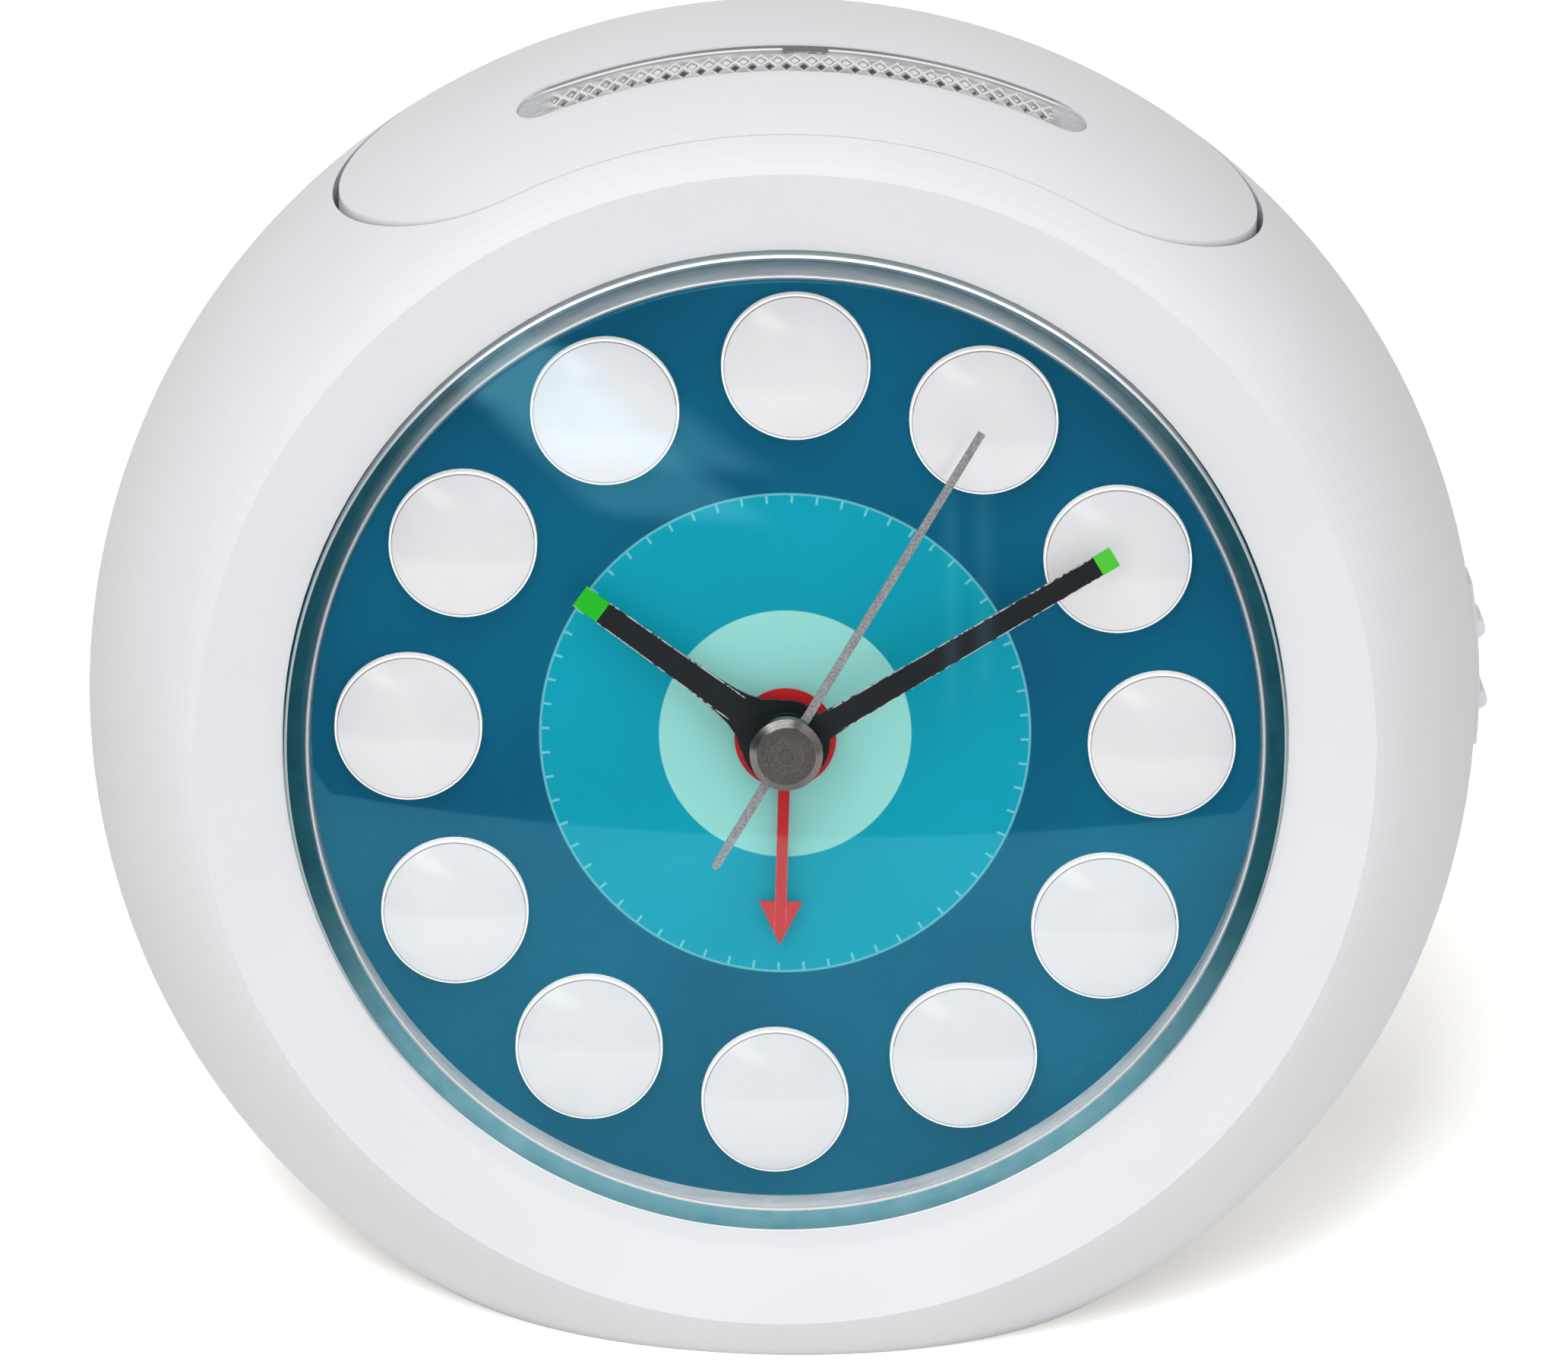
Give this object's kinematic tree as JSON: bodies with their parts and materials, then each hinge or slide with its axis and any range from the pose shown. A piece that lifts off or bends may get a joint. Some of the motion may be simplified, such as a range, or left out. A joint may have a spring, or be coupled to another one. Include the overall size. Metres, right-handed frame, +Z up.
{
  "type": "analog alarm clock",
  "caption": "Round bedside alarm clock that leans back on a flat base, with a domed lens, raised hour domes, four hands, a press bar over the top and setting knobs behind.",
  "frame": {"origin": "middle of the flat base, on the surface that the clock stands on", "axes": "+Z up, the dial faces -Y and leans back by 10 degrees, +X to the right of someone who reads the dial"},
  "size_m": [0.1126, 0.0645, 0.1011],
  "materials": {
    "case_white": "satin moulded",
    "clear": "clear polished",
    "opal": "soft satin",
    "dial_teal": "printed",
    "hand_black": "satin",
    "lume": "bright paint",
    "hand_grey": "satin",
    "cap_nickel": "turned",
    "hand_red": "satin",
    "steel": "bright",
    "nickel": "plated",
    "natural": "moulded",
    "gear_white": "moulded",
    "magnet": "bonded magnet",
    "brass": "bright",
    "copper": "enamelled wire",
    "board": "lacquered board",
    "black": "moulded",
    "led": "clear epoxy",
    "cell": "printed sleeve"
  },
  "bodies": {
    "case": {"front_case": "case_white", "rear_case": "case_white", "front_lens": "clear", "case_screws": "steel", "dial_plate": "dial_teal", "dome_sheet": "opal", "dial_screws": "steel", "movement_front": "natural", "movement_bridge": "natural", "movement_back": "natural", "movement_screws": "steel", "stator": "steel", "coil_bobbin": "natural", "coil_winding": "copper", "circuit_board": "board", "chip_cover": "black", "quartz_crystal": "nickel", "alarm_contact": "brass", "snooze_springs": "steel", "snooze_switch": "black", "lamp_board": "board", "lamp_led": "led", "switch_body": "black", "buzzer": "black", "battery": "cell", "battery_plate": "nickel", "battery_spring": "nickel"},
    "second": {"second_wheel": "gear_white", "second_hand": "hand_grey", "hand_cap": "cap_nickel"},
    "third": {"third_wheel": "gear_white"},
    "centre": {"centre_wheel": "gear_white"},
    "fifth": {"fifth_wheel": "gear_white"},
    "rotor": {"rotor": "magnet"},
    "minute": {"cannon_pinion": "brass", "minute_hand": "hand_black", "minute_tip": "lume"},
    "motion": {"motion_wheel": "gear_white"},
    "hour": {"hour_wheel": "gear_white", "hour_hand": "hand_black", "hour_tip": "lume"},
    "time_set": {"time_shaft": "gear_white", "time_knob": "black"},
    "alarm": {"alarm_wheel": "gear_white", "alarm_hand": "hand_red"},
    "alarm_set": {"alarm_shaft": "gear_white", "alarm_knob": "black"},
    "snooze": {"snooze_bar": "case_white", "snooze_window": "clear"},
    "slider": {"alarm_slider": "case_white"},
    "door": {"battery_door": "case_white"}
  },
  "joints": [
    {"name": "second_hand_spin", "type": "hinge", "parent": "case", "child": "second", "pos_m": [0, -0.01028, 0.04826], "axis": [0, 0.9848, -0.1736], "continuous": true},
    {"name": "third_wheel_spin", "type": "hinge", "parent": "case", "child": "third", "pos_m": [0.00651, -0.01123, 0.04287], "axis": [0, 0.9848, -0.1736], "continuous": true},
    {"name": "centre_wheel_spin", "type": "hinge", "parent": "case", "child": "centre", "pos_m": [0, -0.01028, 0.04826], "axis": [0, 0.9848, -0.1736], "continuous": true},
    {"name": "fifth_wheel_spin", "type": "hinge", "parent": "case", "child": "fifth", "pos_m": [-0.00636, -0.01138, 0.04199], "axis": [0, 0.9848, -0.1736], "continuous": true},
    {"name": "rotor_spin", "type": "hinge", "parent": "case", "child": "rotor", "pos_m": [-0.00876, -0.01252, 0.03551], "axis": [0, 0.9848, -0.1736], "continuous": true},
    {"name": "minute_hand_spin", "type": "hinge", "parent": "case", "child": "minute", "pos_m": [0, -0.01028, 0.04826], "axis": [0, 0.9848, -0.1736], "continuous": true},
    {"name": "motion_wheel_spin", "type": "hinge", "parent": "case", "child": "motion", "pos_m": [-0.006, -0.00926, 0.05404], "axis": [0, 0.9848, -0.1736], "continuous": true},
    {"name": "hour_hand_spin", "type": "hinge", "parent": "case", "child": "hour", "pos_m": [0, -0.01028, 0.04826], "axis": [0, 0.9848, -0.1736], "continuous": true},
    {"name": "time_knob_spin", "type": "hinge", "parent": "case", "child": "time_set", "pos_m": [-0.01222, -0.0082, 0.06004], "axis": [0, 0.9848, -0.1736], "continuous": true},
    {"name": "alarm_hand_spin", "type": "hinge", "parent": "case", "child": "alarm", "pos_m": [0, -0.01028, 0.04826], "axis": [0, 0.9848, -0.1736], "continuous": true},
    {"name": "alarm_knob_spin", "type": "hinge", "parent": "case", "child": "alarm_set", "pos_m": [0.01188, -0.00821, 0.05995], "axis": [0, 0.9848, -0.1736], "continuous": true},
    {"name": "snooze_press", "type": "slide", "parent": "case", "child": "snooze", "axis": [0, -0.1736, -0.9848], "range_m": [0, 0.0012], "stiffness_N_per_m": 400, "springref_m": -0.002, "deforming": ["snooze_springs"]},
    {"name": "alarm_switch", "type": "hinge", "parent": "case", "child": "slider", "pos_m": [0, 0.00745, 0.04513], "axis": [0, 0.9848, -0.1736], "range_deg": [0, 3.2]},
    {"name": "battery_door_swing", "type": "hinge", "parent": "case", "child": "door", "pos_m": [0, 0.02704, 0.01802], "axis": [-1, 0, 0], "range_deg": [0, 75]}
  ],
  "couplings": [
    {"joint": "third_wheel_spin", "follows": "second_hand_spin", "ratio": -0.13333},
    {"joint": "centre_wheel_spin", "follows": "second_hand_spin", "ratio": 0.016667},
    {"joint": "fifth_wheel_spin", "follows": "second_hand_spin", "ratio": -5},
    {"joint": "rotor_spin", "follows": "second_hand_spin", "ratio": 30},
    {"joint": "motion_wheel_spin", "follows": "minute_hand_spin", "ratio": -0.33333},
    {"joint": "hour_hand_spin", "follows": "minute_hand_spin", "ratio": 0.083333},
    {"joint": "time_knob_spin", "follows": "minute_hand_spin", "ratio": 0.875},
    {"joint": "alarm_knob_spin", "follows": "alarm_hand_spin", "ratio": -1.3333}
  ]
}
